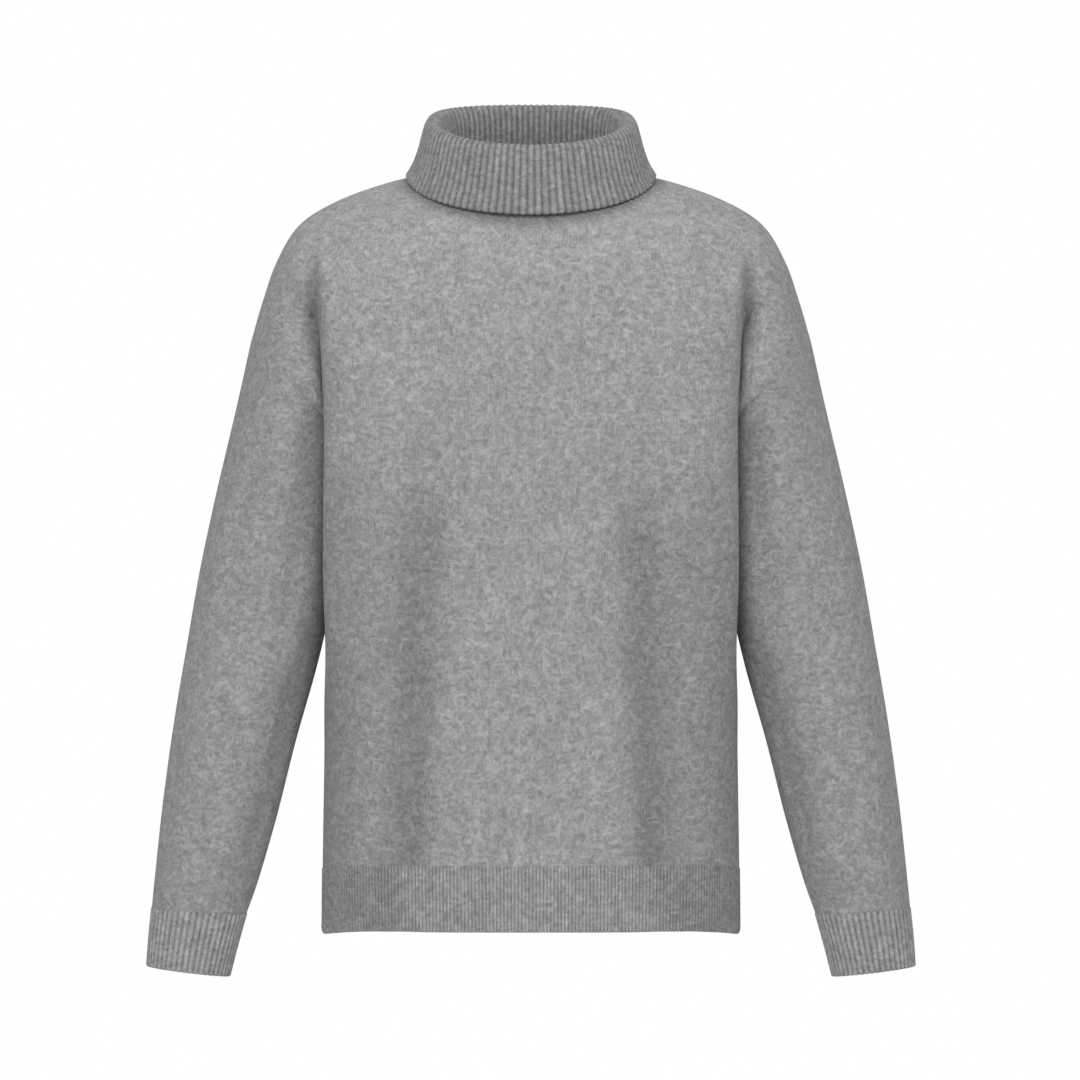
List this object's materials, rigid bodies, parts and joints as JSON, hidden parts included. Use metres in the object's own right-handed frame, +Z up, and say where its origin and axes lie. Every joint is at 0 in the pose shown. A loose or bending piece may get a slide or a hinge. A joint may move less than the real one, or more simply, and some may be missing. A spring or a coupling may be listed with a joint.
{
  "type": "turtleneck sweater",
  "caption": "Hollow knitted turtleneck sweater in the shape it has on a wearer, with a folded ribbed collar, long drop-shoulder sleeves, and a ribbed hem and cuffs.",
  "frame": {"origin": "the middle of the neck at the height of the neck points, where the shoulder seams meet the collar", "axes": "+Z is up, the front of the sweater faces -Y, and +X is the wearer's left"},
  "size_m": [0.661, 0.2389, 0.7515],
  "materials": {
    "plain_knit": "light heather grey wool knit, soft and matt",
    "rib_knit": "light heather grey ribbed wool knit, soft and matt"
  },
  "bodies": {
    "root": {"front": "plain_knit", "back": "plain_knit", "hem_front": "rib_knit", "hem_back": "rib_knit", "sleeve_left": "plain_knit", "sleeve_right": "plain_knit", "cuff_left": "rib_knit", "cuff_right": "rib_knit", "collar": "rib_knit"}
  },
  "joints": []
}
